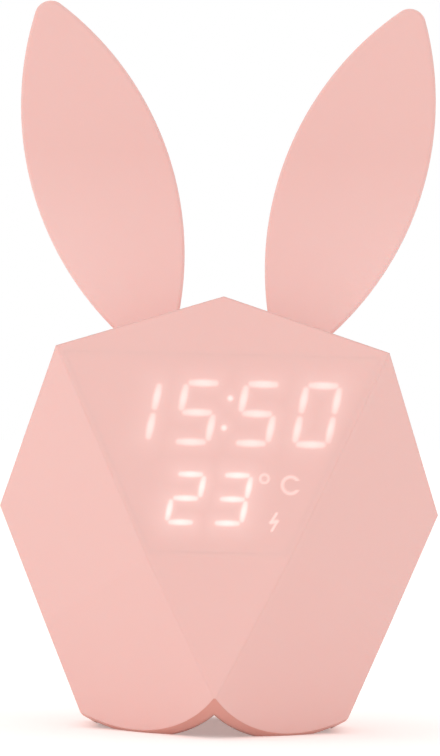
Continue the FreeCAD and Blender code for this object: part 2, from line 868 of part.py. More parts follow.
def main_board():
    rear = main_board_rear
    front = rear - size("board_thickness")
    top, knee, bottom = size("main_board_top"), size("main_board_knee"), size("main_board_bottom")
    wide, narrow = size("main_board_half"), size("main_board_low_half")
    plate = prism([(-wide, knee), (-narrow, bottom), (narrow, bottom), (wide, knee), (wide, top),
                   (-wide, top)], front, size("board_thickness"))
    room = speaker_reach + 2 * size("fit_gap")
    cuts = [cylinder_y(room, front, rear, 0, size("speaker_height"))]
    cuts += [cylinder_y(size("small_screw_radius") + size("fit_gap"), front, rear, across, height)
             for across, height in MAIN_BOSSES]
    return plate.cut(cuts)


plain("main_board", main_board())
screw_set("main_board_screws", "small",
          [V(across, main_board_rear - size("board_thickness"), height) for across, height in MAIN_BOSSES],
          V(0, -1, 0))


# Rear keys, each with a push switch on the main board behind it

KEY_DEPTHS = {
    "board": "(body_depth / 2 - wall - board_to_wall)",
    "inner": "(body_depth / 2 - wall)",
}
plunger_tip = KEY_DEPTHS["board"] + " + switch_thickness + plunger_proud"


def key(name, step):
    """Key cap, collar and post in one moulding."""
    across = "%s * key_pitch" % step
    flange_back = KEY_DEPTHS["inner"] + " - press_gap - key_flange_thickness"
    cap = rod("key_radius", "key_flange_thickness + press_gap + wall + key_proud", across, flange_back,
              "key_height")
    cap = chamfered(cap, "key_edge_width", lambda edge: edge.CenterOfMass.y > size("body_depth") / 2)
    collar = rod("key_flange_radius", "key_flange_thickness", across, flange_back, "key_height")
    post = rod("key_post_radius", "%s - (%s)" % (flange_back, plunger_tip), across, plunger_tip,
               "key_height")
    return piece(fuse([cap, collar, post]), name)


def switch_body(name, step):
    across = "%s * key_pitch" % step
    case = box("switch_side", "switch_thickness", "switch_side", across + " - switch_side / 2",
               KEY_DEPTHS["board"], "key_height - switch_side / 2")
    bore = rod("plunger_radius + plunger_gap", "switch_thickness", across,
               KEY_DEPTHS["board"] + " + switch_thickness - plunger_depth - key_travel - plunger_gap",
               "key_height")
    return piece(cut(case, [bore]), name)


def plunger(name, step):
    return piece(rod("plunger_radius", "plunger_proud + plunger_depth", "%s * key_pitch" % step,
                     plunger_tip + " - plunger_proud - plunger_depth", "key_height"), name)


for name, step in KEYS.items():
    key(name, step)
    switch_body(name.replace("_key", "_switch"), step)
    plunger(name.replace("_key", "_plunger"), step)


# Power slide switch: a case with a slot, and the knob that moves across

def power_switch():
    board = KEY_DEPTHS["board"]
    case = box("power_body_length", "power_body_thickness", "power_body_width",
               "power_across - power_body_length / 2", board, "power_height - power_body_width / 2")
    pocket = box("power_knob_length + power_travel + 2 * power_gap", "power_body_thickness",
                 "power_knob_width + 2 * power_gap",
                 "power_across - power_knob_length / 2 - power_travel / 2 - power_gap",
                 board + " + power_body_thickness / 2",
                 "power_height - power_knob_width / 2 - power_gap")
    piece(cut(case, [pocket]), "power_switch_case")
    knob = box("power_knob_length", "board_to_wall + wall / 2 - power_body_thickness / 2",
               "power_knob_width", "power_across - power_travel / 2 - power_knob_length / 2",
               board + " + power_body_thickness / 2", "power_height - power_knob_width / 2")
    piece(knob, "power_knob")


power_switch()


# Charging socket: a metal sleeve, and a tongue on a moulded base

def charging_socket():
    depth = main_board_rear
    mouth = inner_face + size("wall") / 2
    sleeve = socket_outline(0, depth, mouth)
    hollow = socket_outline(-size("socket_wall"), depth, mouth)
    plain("socket_sleeve", sleeve.cut(hollow))
    base = socket_outline(-size("socket_wall"), depth, depth + size("socket_wall") * 3)
    tongue = Part.makeBox(size("socket_tongue_width"), mouth - depth - size("socket_wall") * 2,
                          size("socket_tongue_thickness"),
                          V(size("socket_across") - size("socket_tongue_width") / 2, depth,
                            size("socket_height") - size("socket_tongue_thickness") / 2))
    plain("socket_tongue", base.fuse(tongue).removeSplitter())


charging_socket()


# Speaker: gasket, basket, cone, magnet and the clamp that holds them to the rear face

def evaluated(formula):
    return float(sheet.evalExpression(linked(formula)))


def turned(label, corners):
    """Part turned about the speaker's axis, from corners given as radius and depth."""
    body = doc.addObject("PartDesign::Body", "Turned")
    sketch = body.newObject("Sketcher::SketchObject", "Profile")
    plane = [item for item in body.Origin.OriginFeatures if item.Role == "YZ_Plane"][0]
    sketch.AttachmentSupport = [(plane, "")]
    sketch.MapMode = "FlatFace"
    points = [V(evaluated(depth), evaluated(radius), 0) for radius, depth in corners]
    count = len(points)
    for number, point in enumerate(points):
        sketch.addGeometry(Part.LineSegment(point, points[(number + 1) % count]))
    for number in range(count):
        sketch.addConstraint(Sketcher.Constraint("Coincident", number, 2, (number + 1) % count, 1))
    for number, (radius, depth) in enumerate(corners):
        for kind, formula in (("DistanceX", depth), ("DistanceY", radius)):
            row = sketch.addConstraint(Sketcher.Constraint(kind, -1, 1, number, 1, evaluated(formula)))
            sketch.setExpression("Constraints[%d]" % row, linked(formula))
    turn = body.newObject("PartDesign::Revolution", "Turn")
    turn.Profile = sketch
    turn.ReferenceAxis = (sketch, ["H_Axis"])
    turn.Angle = 360
    place(body, "0", "0", "speaker_height")
    return piece(body, label)


flange_front = "(body_depth / 2 - wall - gasket_thickness)"
flange_rear = flange_front + " - basket_flange_thickness"
basket_end = flange_front + " - basket_depth"
lip_inner = "basket_neck_radius - basket_wall"
turned("speaker_gasket", [
    ("gasket_inner_radius", flange_front), ("speaker_radius", flange_front),
    ("speaker_radius", flange_front + " + gasket_thickness"),
    ("gasket_inner_radius", flange_front + " + gasket_thickness")])
turned("speaker_basket", [
    ("speaker_radius", flange_front), ("speaker_radius", flange_rear),
    ("basket_neck_radius", flange_rear), ("basket_end_radius", basket_end), ("0", basket_end),
    ("0", basket_end + " + basket_wall"),
    ("basket_end_radius - basket_wall", basket_end + " + basket_wall"), (lip_inner, flange_front)])
turned("speaker_cone", [
    ("gasket_inner_radius - fit_gap", flange_front),
    ("gasket_inner_radius - fit_gap", flange_front + " + cone_thickness"),
    (lip_inner, flange_front + " + cone_thickness"),
    ("dust_cap_radius", flange_front + " + cone_thickness - cone_depth"),
    ("0", flange_front + " + 2 * cone_thickness - cone_depth"),
    ("0", flange_front + " + cone_thickness - cone_depth"),
    ("dust_cap_radius", flange_front + " - cone_depth"),
    (lip_inner + " - fit_gap", flange_front)])
piece(rod("magnet_radius", "magnet_thickness", "0", basket_end + " - magnet_thickness", "speaker_height"),
      "speaker_magnet")


def speaker_clamp():
    back = flange_rear + " - clamp_thickness"
    solids = [rod("speaker_radius + speaker_gap + speaker_ring_wall", "clamp_thickness", "0", back,
                  "speaker_height"),
              box("2 * clamp_boss_across", "clamp_thickness", "2 * boss_radius", "-clamp_boss_across", back,
                  "speaker_height - boss_radius")]
    holes = [rod("basket_neck_radius + fit_gap", "clamp_thickness", "0", back, "speaker_height")]
    for sign in ("", "-"):
        solids.append(rod("boss_radius", "clamp_thickness", sign + "clamp_boss_across", back,
                          "speaker_height"))
        holes.append(rod("small_screw_radius + fit_gap", "clamp_thickness", sign + "clamp_boss_across",
                         back, "speaker_height"))
    return piece(cut(fuse(solids), holes), "speaker_clamp")


speaker_clamp()
screw_set("speaker_screws", "small",
          [V(side * size("clamp_boss_across"), clamp_seat - size("clamp_thickness"), size("speaker_height"))
           for side in (1, -1)], V(0, -1, 0), "speaker_screw_length")


# Every object is worked out and tested before anything is written

doc.recompute()
for item in doc.Objects:
    if "Invalid" in item.State or "Error" in item.State:
        raise RuntimeError("%s (%s) is %s" % (item.Name, item.Label, item.State))
for item in pieces:
    if item.Shape.isNull() or not item.Shape.isValid() or not item.Shape.Solids:
        raise RuntimeError("%s has no valid solid" % item.Label)

os.makedirs("parts", exist_ok=True)
for item in pieces:
    item.Shape.exportStep(os.path.join("parts", item.Label + ".step"))
    solids = item.Shape.Solids
    print("%-24s %3d solids %10.1f mm3" % (item.Label, len(solids), sum(one.Volume for one in solids)))
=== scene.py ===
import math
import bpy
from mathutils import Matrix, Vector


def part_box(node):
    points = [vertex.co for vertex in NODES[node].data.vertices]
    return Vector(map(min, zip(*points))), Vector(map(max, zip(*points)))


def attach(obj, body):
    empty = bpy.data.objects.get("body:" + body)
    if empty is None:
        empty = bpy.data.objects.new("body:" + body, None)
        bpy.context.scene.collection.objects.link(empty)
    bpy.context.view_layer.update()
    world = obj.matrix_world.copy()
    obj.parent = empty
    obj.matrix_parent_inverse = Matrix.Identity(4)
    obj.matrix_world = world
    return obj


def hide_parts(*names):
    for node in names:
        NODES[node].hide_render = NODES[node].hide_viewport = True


bl_info = {
    "name": "Faceted Alarm Clock",
    "version": (1, 0, 0),
    "blender": (4, 5, 0),
    "location": "View3D > Sidebar > Alarm Clock",
    "description": "Dresses the faceted bedside clock: shells, ears, lit digits, keys, screws and stage",
    "category": "Object",
}

import bmesh
import bpy
import numpy as np
from bpy.props import FloatProperty, FloatVectorProperty, PointerProperty, StringProperty
from mathutils import Matrix, Vector

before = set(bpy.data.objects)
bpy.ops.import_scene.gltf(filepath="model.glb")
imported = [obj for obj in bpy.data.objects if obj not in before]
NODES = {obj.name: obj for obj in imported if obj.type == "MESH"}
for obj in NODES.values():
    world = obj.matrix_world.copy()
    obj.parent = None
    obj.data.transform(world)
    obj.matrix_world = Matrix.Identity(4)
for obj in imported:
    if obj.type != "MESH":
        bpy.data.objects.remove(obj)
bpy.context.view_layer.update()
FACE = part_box("front_shell")[0].y
MM = 0.001
# Points closer than this are one point
WELD = 0.000001


# Settings that a user would change


class ClockFinish(bpy.types.PropertyGroup):
    shell: FloatVectorProperty(name="Shell", description="Colour of the moulded shells and ears",
                               subtype="COLOR", size=3, min=0, max=1, default=(0.863, 0.522, 0.479))
    # Painted light: paler colour where an ear meets the roof, cancelling the shade that the roof casts there
    ear_root_light: FloatVectorProperty(name="Ear root", description="Paler colour where an ear meets the roof",
                                  subtype="COLOR", size=3, min=0, max=1, default=(0.94, 0.635, 0.595))
    # Painted shade: deeper colour on the rims that face the table, standing in for the shadow there
    rim_shade: FloatVectorProperty(name="Rim", description="Deeper colour of the rims that face the table",
                             subtype="COLOR", size=3, min=0, max=1, default=(0.74, 0.33, 0.27))
    key: FloatVectorProperty(name="Keys", description="Colour of the rear keys and the switch knob",
                             subtype="COLOR", size=3, min=0, max=1, default=(0.90, 0.78, 0.75))
    steel: FloatVectorProperty(name="Steel", description="Colour of the screws",
                               subtype="COLOR", size=3, min=0, max=1, default=(0.55, 0.55, 0.56))
    board: FloatVectorProperty(name="Boards", description="Colour of the circuit boards",
                               subtype="COLOR", size=3, min=0, max=1, default=(0.015, 0.11, 0.04))
    shell_roughness: FloatProperty(name="Shell roughness", description="How dull the shell is",
                                   subtype="FACTOR", min=0, max=1, default=0.42)
    edge_radius: FloatProperty(name="Edge radius", description="Softness of the facet edges",
                               subtype="DISTANCE", min=0, default=0.0009)
    seam_width: FloatProperty(name="Seam width", description="Width of the line where the shells meet",
                              subtype="DISTANCE", min=0, default=0.00022)


class ClockDisplay(bpy.types.PropertyGroup):
    time_text: StringProperty(name="Time", description="Four digits of the time", default="1550")
    degree_text: StringProperty(name="Temperature", description="Two digits of the temperature",
                                default="23")
    slant: FloatProperty(name="Slant", description="Lean of the digits, across for each unit up",
                         subtype="FACTOR", min=-1, max=1, default=0.19)
    time_height: FloatProperty(name="Time digit height", description="Between the outer segments",
                               subtype="DISTANCE", default=0.0139)
    time_width: FloatProperty(name="Time digit width", description="Between the upright segments",
                              subtype="DISTANCE", default=0.0078)
    time_pitch: FloatProperty(name="Time digit pitch", description="From one digit to the next",
                              subtype="DISTANCE", default=0.0141)
    time_place: FloatVectorProperty(name="Time place", description="Middle of the time, across and up",
                                    subtype="XYZ", unit="LENGTH", size=2, default=(0.0014, 0.0772))
    degree_height: FloatProperty(name="Temperature digit height", description="Between the outer segments",
                                 subtype="DISTANCE", default=0.0113)
    degree_width: FloatProperty(name="Temperature digit width", description="Between the upright segments",
                                subtype="DISTANCE", default=0.0065)
    degree_pitch: FloatProperty(name="Temperature digit pitch", description="From one digit to the next",
                                subtype="DISTANCE", default=0.0110)
    degree_place: FloatVectorProperty(name="Temperature place", description="Middle of the temperature",
                                      subtype="XYZ", unit="LENGTH", size=2, default=(-0.0024, 0.0570))
    time_segment: FloatProperty(name="Time segment width", description="Width of one lit segment",
                                subtype="DISTANCE", default=0.00145)
    degree_segment: FloatProperty(name="Temperature segment width", description="Width of one lit segment",
                                  subtype="DISTANCE", default=0.0012)
    glow: FloatProperty(name="Glow", description="Strength of the light through the shell",
                        subtype="FACTOR", min=0, max=2, default=0.46)
    halo: FloatProperty(name="Halo", description="Reach of the soft light round a segment",
                        subtype="DISTANCE", default=0.0016)
    grid: FloatProperty(name="Grid step", description="Spacing of the points that carry the light",
                        subtype="DISTANCE", default=0.0003)


class ClockStage(bpy.types.PropertyGroup):
    distance: FloatProperty(name="Camera distance", description="Camera to the parting plane",
                            subtype="DISTANCE", default=1.0)
    height: FloatProperty(name="Camera height", description="Above the table", subtype="DISTANCE",
                          default=0.075)
    aim_across: FloatProperty(name="Aim across", description="Sideways place of the point it looks at",
                              subtype="DISTANCE", default=-0.0005)
    aim_height: FloatProperty(name="Aim height", description="Height of the point it looks at",
                              subtype="DISTANCE", default=0.0859)
    roll: FloatProperty(name="Roll", description="Turn of the camera about its axis", subtype="ANGLE",
                        default=math.radians(1.33))
    focal_pixels: FloatProperty(name="Focal length in pixels", description="For the photo's frame",
                                subtype="PIXEL", default=4062.0)
    sky: FloatProperty(name="Sky", description="Even light from all sides",
                       subtype="FACTOR", min=0, max=2, default=0.953)
    key_light: FloatProperty(name="Key light", description="Soft lamp at the upper left", subtype="POWER",
                             unit="POWER", default=3.4)
    floor_glow: FloatProperty(name="Floor glow", description="Light that the floor gives off",
                              subtype="FACTOR", min=0, max=2, default=0.34)


# Finishes


# Spread of the gloss, and how much broader the cloudy tone is than the grain
GLOSS_SPREAD = 0.05
CLOUD_SHARE = 12

# Shell: cloudy tone and its span, fine grain and its relief
SHELL_CLOUD = 14.0
SHELL_TONE = (0.985, 1.015)
SHELL_GRAIN = 1900.0
SHELL_RELIEF = 0.000012
# Shell: darkness of the seam, and where it ends, in seam widths from the parting plane
SEAM_SHADE = 0.45
SEAM_ENDS = (0.35, 0.7)
# Shell: painted shade on the rims that face the table; upward part of the normal where it is full and where
# it ends
RIM_SHADE_ENDS = (-0.65, -0.45)
# Ears: painted light at the root, cancelling the shade under the roof; depth below the roof at which it is
# full
ROOT_LIGHT_DEPTH = 0.004
# Tint of the light that comes through the shell
LIT_TINT = (1.0, 0.93, 0.90, 1.0)

# Boards: grain, gloss and relief of the tracks
BOARD_GRAIN = 700.0
BOARD_GLOSS = (0.3, 0.45)
TRACK_RELIEF = 0.00003

# Metal: scale and stretch of the streaks, and their span of tone and gloss, and their relief
STREAK_SCALE = 3500.0
STREAK_STRETCH = (1.0, 0.08, 1.0)
STREAK_TONE = (0.86, 1.1)
STREAK_GLOSS = 0.08
STREAK_RELIEF = 0.000008


def new_material(name):
    """Empty node material with its output."""
    material = bpy.data.materials.new(name)
    material.use_nodes = True
    tree = material.node_tree
    tree.nodes.clear()
    return material, tree, tree.nodes.new("ShaderNodeOutputMaterial")


def node(tree, kind, values=None, **settings):
    """One node with its settings and the values of its sockets."""
    item = tree.nodes.new(kind)
    for name, value in settings.items():
        setattr(item, name, value)
    for name, value in (values or {}).items():
        item.inputs[name].default_value = value
    return item


def link(tree, start, stop):
    tree.links.new(start, stop)


def shade(colour, factor):
    """Colour with its brightness scaled, as four numbers."""
    return tuple(min(1.0, part * factor) for part in colour) + (1.0,)


def noise(tree, scale, detail=3.0, roughness=0.5):
    """Noise on the piece's own coordinates, in metres."""
    place = node(tree, "ShaderNodeTexCoord")
    pattern = node(tree, "ShaderNodeTexNoise",
                   {"Scale": scale, "Detail": detail, "Roughness": roughness})
    link(tree, place.outputs["Object"], pattern.inputs["Vector"])
    return pattern.outputs["Fac"]


def spread(tree, value, low, high):
    """Value from 0 to 1 moved to another span."""
    item = node(tree, "ShaderNodeMapRange", {"To Min": low, "To Max": high})
    link(tree, value, item.inputs["Value"])
    return item.outputs["Result"]


def tinted(tree, value, colour, low, high):
    """Colour that varies in brightness with a value."""
    ramp = node(tree, "ShaderNodeMix", data_type="RGBA")
    ramp.inputs[6].default_value = shade(colour, low)
    ramp.inputs[7].default_value = shade(colour, high)
    link(tree, value, ramp.inputs[0])
    return ramp.outputs[2]


def bumped(tree, value, height, normal=None):
    """Normal with fine relief of a given height in metres."""
    item = node(tree, "ShaderNodeBump", {"Strength": 1.0, "Distance": height})
    link(tree, value, item.inputs["Height"])
    if normal is not None:
        link(tree, normal, item.inputs["Normal"])
    return item.outputs["Normal"]


def simple_finish(name, colour, roughness, metallic=0.0, grain=900.0, relief=0.00001, contrast=0.04,
                  coat=0.0):
    """Even material with fine grain in its colour, gloss and relief."""
    material, tree, output = new_material(name)
    surface = node(tree, "ShaderNodeBsdfPrincipled", {"Metallic": metallic, "Coat Weight": coat})
    fine, broad = noise(tree, grain), noise(tree, grain / CLOUD_SHARE)
    link(tree, tinted(tree, broad, colour, 1 - contrast, 1 + contrast), surface.inputs["Base Color"])
    gloss = spread(tree, fine, roughness - GLOSS_SPREAD, roughness + GLOSS_SPREAD)
    link(tree, gloss, surface.inputs["Roughness"])
    link(tree, bumped(tree, fine, relief), surface.inputs["Normal"])
    link(tree, surface.outputs["BSDF"], output.inputs["Surface"])
    return material


def axis_of(tree, kind, output, axis):
    """One axis of a vector that a kind of node gives."""
    source = node(tree, kind)
    split = node(tree, "ShaderNodeSeparateXYZ")
    link(tree, source.outputs[output], split.inputs["Vector"])
    return split.outputs[axis]


def fading(tree, value, full, gone):
    """One at and beyond one value, falling to zero at another."""
    mask = node(tree, "ShaderNodeMapRange",
                {"From Min": full, "From Max": gone, "To Min": 1.0, "To Max": 0.0})
    link(tree, value, mask.inputs["Value"])
    return mask.outputs["Result"]


def seam_mask(tree, width):
    """One on the parting plane of the shells and zero away from it."""
    away = node(tree, "ShaderNodeMath", operation="ABSOLUTE")
    link(tree, axis_of(tree, "ShaderNodeTexCoord", "Object", "Y"), away.inputs[0])
    return fading(tree, away.outputs["Value"], width * SEAM_ENDS[0], width * SEAM_ENDS[1])


def blended(tree, mask, base, colour):
    """Base colour that gives way to another colour where the mask is one."""
    item = node(tree, "ShaderNodeMix", data_type="RGBA")
    item.inputs[7].default_value = colour
    link(tree, base, item.inputs[6])
    link(tree, mask, item.inputs[0])
    return item.outputs[2]


def rim_shade_mask(tree):
    """Painted shade mask: one on surfaces that face the table and zero on the facets."""
    return fading(tree, axis_of(tree, "ShaderNodeNewGeometry", "True Normal", "Z"), *RIM_SHADE_ENDS)


def root_light_mask(tree, low, high):
    """Painted light mask: one at the root of an ear, falling to zero at a height."""
    return fading(tree, axis_of(tree, "ShaderNodeTexCoord", "Object", "Z"), low, high)


def shell_finish(name, seam_and_rim_shade=False, glow=False, root=None):
    """Satin moulded plastic that lets a little light through, with soft facet edges."""
    settings = bpy.context.scene.clock_finish
    material, tree, output = new_material(name)
    surface = node(tree, "ShaderNodeBsdfPrincipled", {
        "Subsurface Weight": 0.25, "Subsurface Radius": (1.0, 0.45, 0.35), "Subsurface Scale": 0.0012,
        "IOR": 1.46, "Specular IOR Level": 0.55})
    colour = tuple(settings.shell)
    broad = noise(tree, SHELL_CLOUD, detail=2.0)
    fine = noise(tree, SHELL_GRAIN, detail=4.0, roughness=0.6)
    base = tinted(tree, broad, colour, *SHELL_TONE)
    # Painted light: the ear grows paler towards its root, cancelling the shade there
    if root:
        base = blended(tree, root_light_mask(tree, *root), base, tuple(settings.ear_root_light) + (1.0,))
    # Dark seam line, and painted shade on the rims that face the table
    if seam_and_rim_shade:
        base = blended(tree, seam_mask(tree, settings.seam_width), base, shade(colour, SEAM_SHADE))
        # Painted shade: the rims that face the table get a deeper colour in place of their shadow
        base = blended(tree, rim_shade_mask(tree), base, tuple(settings.rim_shade) + (1.0,))
    link(tree, base, surface.inputs["Base Color"])
    rough = settings.shell_roughness
    link(tree, spread(tree, fine, rough - GLOSS_SPREAD, rough + GLOSS_SPREAD), surface.inputs["Roughness"])
    soft = node(tree, "ShaderNodeBevel", {"Radius": settings.edge_radius}, samples=8)
    link(tree, bumped(tree, fine, SHELL_RELIEF, soft.outputs["Normal"]), surface.inputs["Normal"])
    if glow:
        light = node(tree, "ShaderNodeAttribute", attribute_name="glow")
        level = node(tree, "ShaderNodeMath", operation="MULTIPLY")
        level.inputs[1].default_value = bpy.context.scene.clock_display.glow
        surface.inputs["Emission Color"].default_value = LIT_TINT
        link(tree, light.outputs["Fac"], level.inputs[0])
        link(tree, level.outputs["Value"], surface.inputs["Emission Strength"])
    link(tree, surface.outputs["BSDF"], output.inputs["Surface"])
    return material


def board_finish(name, colour):
    """Solder mask with faint copper tracks under it."""
    material, tree, output = new_material(name)
    surface = node(tree, "ShaderNodeBsdfPrincipled", {"Coat Weight": 0.4, "Coat Roughness": 0.2})
    place = node(tree, "ShaderNodeTexCoord")
    tracks = node(tree, "ShaderNodeTexBrick",
                  {"Scale": 160.0, "Mortar Size": 0.06, "Brick Width": 1.3, "Row Height": 0.35,
                   "Color1": shade(colour, 0.9), "Color2": shade(colour, 1.1), "Mortar": shade(colour, 1.9)})
    turned = node(tree, "ShaderNodeMapping", {"Rotation": (math.radians(90), 0, 0)})
    link(tree, place.outputs["Object"], turned.inputs["Vector"])
    link(tree, turned.outputs["Vector"], tracks.inputs["Vector"])
    link(tree, tracks.outputs["Color"], surface.inputs["Base Color"])
    link(tree, spread(tree, noise(tree, BOARD_GRAIN), *BOARD_GLOSS), surface.inputs["Roughness"])
    link(tree, bumped(tree, tracks.outputs["Fac"], TRACK_RELIEF), surface.inputs["Normal"])
    link(tree, surface.outputs["BSDF"], output.inputs["Surface"])
    return material


def brushed_finish(name, colour, roughness):
    """Turned or drawn metal with fine stretched streaks."""
    material, tree, output = new_material(name)
    surface = node(tree, "ShaderNodeBsdfPrincipled", {"Metallic": 1.0})
    place = node(tree, "ShaderNodeTexCoord")
    stretched = node(tree, "ShaderNodeMapping", {"Scale": STREAK_STRETCH})
    streaks = node(tree, "ShaderNodeTexNoise", {"Scale": STREAK_SCALE, "Detail": 2.0})
    link(tree, place.outputs["Object"], stretched.inputs["Vector"])
    link(tree, stretched.outputs["Vector"], streaks.inputs["Vector"])
    streak = streaks.outputs["Fac"]
    link(tree, tinted(tree, streak, colour, *STREAK_TONE), surface.inputs["Base Color"])
    link(tree, spread(tree, streak, roughness - STREAK_GLOSS, roughness + STREAK_GLOSS),
         surface.inputs["Roughness"])
    link(tree, bumped(tree, streak, STREAK_RELIEF), surface.inputs["Normal"])
    link(tree, surface.outputs["BSDF"], output.inputs["Surface"])
    return material


def dress(name, material):
    """Gives a CAD node its material."""
    item = NODES[name]
    item.data.materials.clear()
    item.data.materials.append(material)


def new_piece(name, mesh, body, material):
    """Mesh object that rides on a body with its material."""
    item = bpy.data.objects.new(name, mesh)
    bpy.context.scene.collection.objects.link(item)
    mesh.materials.clear()
    mesh.materials.append(material)
    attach(item, body)


# Shells, ears and bottom cover


class CLOCK_OT_shells(bpy.types.Operator):
    """Gives the two shells, the ears and the bottom cover their moulded finish"""
    bl_idname = "clock.shells"
    bl_label = "Dress Shells and Ears"

    def execute(self, context):
        # The shells get the dark seam and the painted shade on their rims
        body = shell_finish("shell_satin_pink", seam_and_rim_shade=True)
        dress("front_shell", body)
        dress("rear_shell", body)
        roof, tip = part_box("front_shell")[1].z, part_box("right_ear")[1].z
        # Painted light: the ears grow paler towards the roof, cancelling the shade that falls there
        ears = shell_finish("ear_satin_pink", root=(roof - ROOT_LIGHT_DEPTH, (roof + tip) / 2))
        for name in ("left_ear", "right_ear"):
            dress(name, ears)
        cover = simple_finish("cover_moulded_pink", tuple(context.scene.clock_finish.shell),
                              roughness=0.5, grain=1500.0, relief=0.00002)
        dress("bottom_cover", cover)
        return {"FINISHED"}


# Lit digits


# Light panel: reach beyond the digits, distance from the face's edges, width over which its light
# fades there, and gap in front of the face
PANEL_MARGIN = 0.009
EDGE_MARGIN = 0.0012
EDGE_FADE = 0.004
PANEL_GAP = 0.00002
# A corner of the front face lies this near its plane and this far to the right
FACE_NEAR = 0.00005
FACE_SIDE = 0.005

# Segment: gap at its ends, least width and added width of its middle, all in segment widths
SEGMENT_GAP = 0.72
END_WIDTH, MIDDLE_WIDTH = 0.84, 0.18
# Segment: light at its ends and added light of its middle
END_LIGHT, MIDDLE_LIGHT = 0.68, 0.32
# Edge of a lit line: where it starts to fade, and over what part of the width
EDGE_START, EDGE_SPAN = 1.35, 0.62
# Light inside the shell: share and power of the near part, share and reach of the wide part
NEAR_SHARE, NEAR_POWER = 0.6, 1.2
WIDE_SHARE, WIDE_REACH = 0.4, 3
# Light levels of the two rows, of the colon and its haze, and of the haze as a whole
TIME_LEVEL, DEGREE_LEVEL = 0.70, 1.0
COLON_LEVEL, COLON_HAZE = 0.82, 0.7
HAZE_LEVEL = 0.24
# Colon: height of each dot above or below the middle, in digit heights
COLON_RISE = 0.25

DIGITS = {"0": "abcdef", "1": "bc", "2": "abged", "3": "abgcd", "4": "fgbc", "5": "afgcd",
          "6": "afgedc", "7": "abc", "8": "abcdefg", "9": "abcdfg"}
SEGMENT_ENDS = {"a": ((-1, 1), (1, 1)), "b": ((1, 1), (1, 0)), "c": ((1, 0), (1, -1)),
                "d": ((-1, -1), (1, -1)), "e": ((-1, 0), (-1, -1)), "f": ((-1, 1), (-1, 0)),
                "g": ((-1, 0), (1, 0))}


def lit_lines(text, place, pitch, width, height, slant, gap):
    """Start and end of every lit segment of a row of leaning digits."""
    lines = []
    for number, digit in enumerate(text):
        middle = place[0] + (number - (len(text) - 1) / 2) * pitch
        for letter in DIGITS[digit]:
            ends = []
            for across, up in SEGMENT_ENDS[letter]:
                ends.append(np.array([middle + across * width / 2 + up * slant * height / 2,
                                      place[1] + up * height / 2]))
            step = (ends[1] - ends[0]) / np.linalg.norm(ends[1] - ends[0]) * gap
            lines.append((ends[0] + step, ends[1] - step))
    return lines


def line_distance(across, up, start, stop):
    """Distance of every grid point to one line, and how far along the line it lies."""
    step = stop - start
    along = ((across - start[0]) * step[0] + (up - start[1]) * step[1]) / (step @ step)
    along = np.clip(along, 0, 1)
    away = np.hypot(across - start[0] - along * step[0], up - start[1] - along * step[1])
    return away, along


def soft_edge(away, width):
    """One inside half the width, falling smoothly to zero at its edge."""
    share = np.clip(EDGE_START - away / (width * EDGE_SPAN), 0, 1)
    return share * share * (3 - 2 * share)


def light_reach(away, halo):
    """Light that spreads inside the shell: a near part and a faint wide part."""
    near = NEAR_SHARE * np.exp(-(away / halo) ** NEAR_POWER)
    return near + WIDE_SHARE * np.exp(-(away / (halo * WIDE_REACH)) ** 2)


# Signs beside the temperature, in millimetres: middle (across and up), radius, stroke and level
RING_PLACE, RING_RADIUS, RING_STROKE, RING_LEVEL = (10.5, 62.0), 1.0, 0.55, 0.42
LETTER_PLACE, LETTER_RADIUS, LETTER_STROKE, LETTER_LEVEL = (16.7, 60.6), 1.95, 0.72, 0.44
# Open side of the letter: how far to the right it starts, and half its height
LETTER_OPENING = (1.0, 1.15)
# Charging sign: middle and level, then start and stop (across and up) and width of each stroke
BOLT_PLACE, BOLT_LEVEL = (13.0, 51.9), 0.55
BOLT_LINES = [((0.55, 2.0), (-0.75, -0.15), 0.55), ((-0.55, 2.0), (-0.4, 0.3), 0.1),
              ((-0.75, -0.15), (0.75, 0.15), 0.75), ((0.75, 0.15), (-0.5, -2.1), 0.5)]


def display_glow(across, up, settings):
    """Light level at every point of the face panel."""
    shown = np.zeros_like(across)
    haze = np.zeros_like(across)
    rows = [(settings.time_text, settings.time_place, settings.time_pitch, settings.time_width,
             settings.time_height, settings.time_segment, TIME_LEVEL),
            (settings.degree_text, settings.degree_place, settings.degree_pitch,
             settings.degree_width, settings.degree_height, settings.degree_segment, DEGREE_LEVEL)]
    for row_text, place, pitch, wide, tall, width, level in rows:
        gap = width * SEGMENT_GAP
        for start, stop in lit_lines(row_text, place, pitch, wide, tall, settings.slant, gap):
            away, along = line_distance(across, up, start, stop)
            swell = np.sin(np.pi * along)
            core = soft_edge(away, width * (END_WIDTH + MIDDLE_WIDTH * swell))
            shown = np.maximum(shown, level * (END_LIGHT + MIDDLE_LIGHT * swell) * core)
            haze = np.maximum(haze, level * light_reach(away, settings.halo))
    rise = settings.time_height * COLON_RISE
    lean = settings.slant * rise
    for side in (1, -1):
        away = np.hypot(across - settings.time_place[0] - side * lean,
                        up - settings.time_place[1] - side * rise)
        shown = np.maximum(shown, COLON_LEVEL * soft_edge(away, settings.degree_segment))
        haze = np.maximum(haze, COLON_HAZE * light_reach(away, settings.halo))
    shown = np.maximum(shown, sign_glow(across, up))
    return np.clip(shown + HAZE_LEVEL * haze * (1 - shown), 0, 1)


